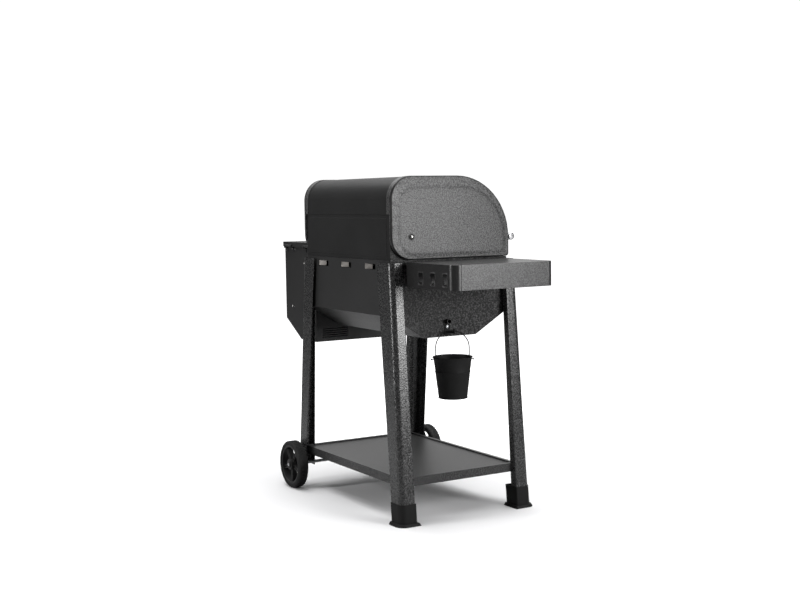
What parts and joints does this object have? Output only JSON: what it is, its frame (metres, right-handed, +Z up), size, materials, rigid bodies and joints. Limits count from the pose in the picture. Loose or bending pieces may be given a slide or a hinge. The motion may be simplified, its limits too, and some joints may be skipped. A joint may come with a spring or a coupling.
{
  "type": "pellet grill",
  "caption": "Wood-pellet grill on a leaning four-leg stand with a drum-shaped hinged lid, side hopper, side shelf, bottom shelf, wheels and a hanging grease bucket.",
  "frame": {"origin": "middle of the footprint, on the floor", "axes": "+Z up, +X from the side shelf towards the pellet hopper, -Y the front with the lid handle"},
  "size_m": [1.241, 0.654, 1.18],
  "materials": {
    "lid_paint": "satin black enamel",
    "cap_paint": "fine-grained charcoal powder coat",
    "body_paint": "satin black enamel",
    "hammered_paint": "coarse hammertone paint",
    "shelf_paint": "fine-grained charcoal powder coat",
    "hopper_paint": "satin black paint",
    "stainless": "brushed",
    "handle_chrome": "polished",
    "zinc_steel": "zinc plated",
    "boot_plastic": "matte moulded",
    "wheel_plastic": "matte moulded",
    "tyre_rubber": "matte rubber",
    "bucket_enamel": "matte black enamel",
    "grate_iron": "porcelain enamel on steel wire",
    "raw_steel": "mill finish",
    "panel_plastic": "matte moulded",
    "lens_glass": "tinted window",
    "key_rubber": "soft-touch"
  },
  "bodies": {
    "cart": {"hinge_bolts": "stainless", "hinge_spacers": "panel_plastic", "rear_panel": "lid_paint", "cook_box_shell": "body_paint", "exhaust_scoops": "stainless", "end_plate_left": "hammered_paint", "end_plate_right": "hammered_paint", "leg_rear_left": "hammered_paint", "leg_front_left": "hammered_paint", "leg_rear_right": "hammered_paint", "leg_front_right": "hammered_paint", "foot_rear": "boot_plastic", "foot_front": "boot_plastic", "axle": "zinc_steel", "axle_caps": "wheel_plastic", "bottom_shelf": "shelf_paint", "frame_bolts": "body_paint", "side_shelf": "shelf_paint", "side_shelf_fascia": "shelf_paint", "shelf_brackets": "hammered_paint", "hopper_housing": "hopper_paint", "hopper_mount_frame": "body_paint", "hopper_funnel": "raw_steel", "hopper_guard": "zinc_steel", "hopper_hinge": "hopper_paint", "auger_tube": "raw_steel", "auger_motor": "zinc_steel", "fire_pot": "raw_steel", "igniter": "stainless", "fan_housing": "panel_plastic", "heat_deflector": "raw_steel", "drip_tray": "raw_steel", "cooking_grate_left": "grate_iron", "cooking_grate_right": "grate_iron", "warming_rack": "grate_iron", "temperature_probe": "stainless", "drain_spout": "zinc_steel", "bucket_hook": "bucket_enamel", "control_panel": "panel_plastic", "display_lens": "lens_glass", "power_inlet": "panel_plastic", "hopper_screws": "stainless"},
    "lid": {"lid_shell": "lid_paint", "lid_cap_left": "cap_paint", "lid_cap_right": "cap_paint", "lid_handle": "handle_chrome", "handle_posts": "handle_chrome"},
    "hopper_cover": {"hopper_lid": "hopper_paint"},
    "wheel_rear": {"wheel_hub_rear": "wheel_plastic", "tyre_rear": "tyre_rubber"},
    "wheel_front": {"wheel_hub_front": "wheel_plastic", "tyre_front": "tyre_rubber"},
    "feed_screw": {"auger": "raw_steel"},
    "fan": {"fan_impeller": "panel_plastic"},
    "knob": {"control_knob": "panel_plastic"},
    "key_down": {"button_down": "key_rubber"},
    "key_up": {"button_up": "key_rubber"},
    "rocker": {"power_switch": "panel_plastic"},
    "bail_wire": {"bail": "bucket_enamel"},
    "grease_bucket": {"bucket": "bucket_enamel"}
  },
  "joints": [
    {"name": "lid_hinge", "type": "hinge", "parent": "cart", "child": "lid", "pos_m": [0.0135, 0.17, 0.973], "axis": [-1, 0, 0], "range_deg": [0, 80]},
    {"name": "hopper_lid_hinge", "type": "hinge", "parent": "cart", "child": "hopper_cover", "pos_m": [0.481, 0.212, 0.925], "axis": [-1, 0, 0], "range_deg": [0, 85]},
    {"name": "wheel_rear_spin", "type": "hinge", "parent": "cart", "child": "wheel_rear", "pos_m": [0.3655, 0.302, 0.09], "axis": [0, 1, 0], "continuous": true},
    {"name": "wheel_front_spin", "type": "hinge", "parent": "cart", "child": "wheel_front", "pos_m": [0.3655, -0.302, 0.09], "axis": [0, 1, 0], "continuous": true},
    {"name": "auger_spin", "type": "hinge", "parent": "cart", "child": "feed_screw", "pos_m": [0.3, 0.006, 0.668], "axis": [1, 0, 0], "continuous": true},
    {"name": "fan_spin", "type": "hinge", "parent": "cart", "child": "fan", "pos_m": [0.4185, -0.114, 0.6], "axis": [0, 0, 1], "continuous": true},
    {"name": "knob_turn", "type": "hinge", "parent": "cart", "child": "knob", "pos_m": [0.527, -0.204, 0.858], "axis": [0, -1, 0], "range_deg": [-135, 135]},
    {"name": "down_key_press", "type": "slide", "parent": "cart", "child": "key_down", "axis": [0, 1, 0], "range_m": [0, 0.0015], "stiffness_N_per_m": 200},
    {"name": "up_key_press", "type": "slide", "parent": "cart", "child": "key_up", "axis": [0, 1, 0], "range_m": [0, 0.0015], "stiffness_N_per_m": 200},
    {"name": "power_rocker", "type": "hinge", "parent": "cart", "child": "rocker", "pos_m": [0.528, -0.19625, 0.8135], "axis": [1, 0, 0], "range_deg": [-8, 8]},
    {"name": "bail_swing", "type": "hinge", "parent": "cart", "child": "bail_wire", "pos_m": [-0.3325, 0.021, 0.645], "axis": [0.5105, 0.8599, 0], "range_deg": [-12, 45]},
    {"name": "bucket_swing", "type": "hinge", "parent": "bail_wire", "child": "grease_bucket", "pos_m": [-0.3325, 0.021, 0.547], "axis": [0.5105, 0.8599, 0], "range_deg": [-25, 25]}
  ]
}
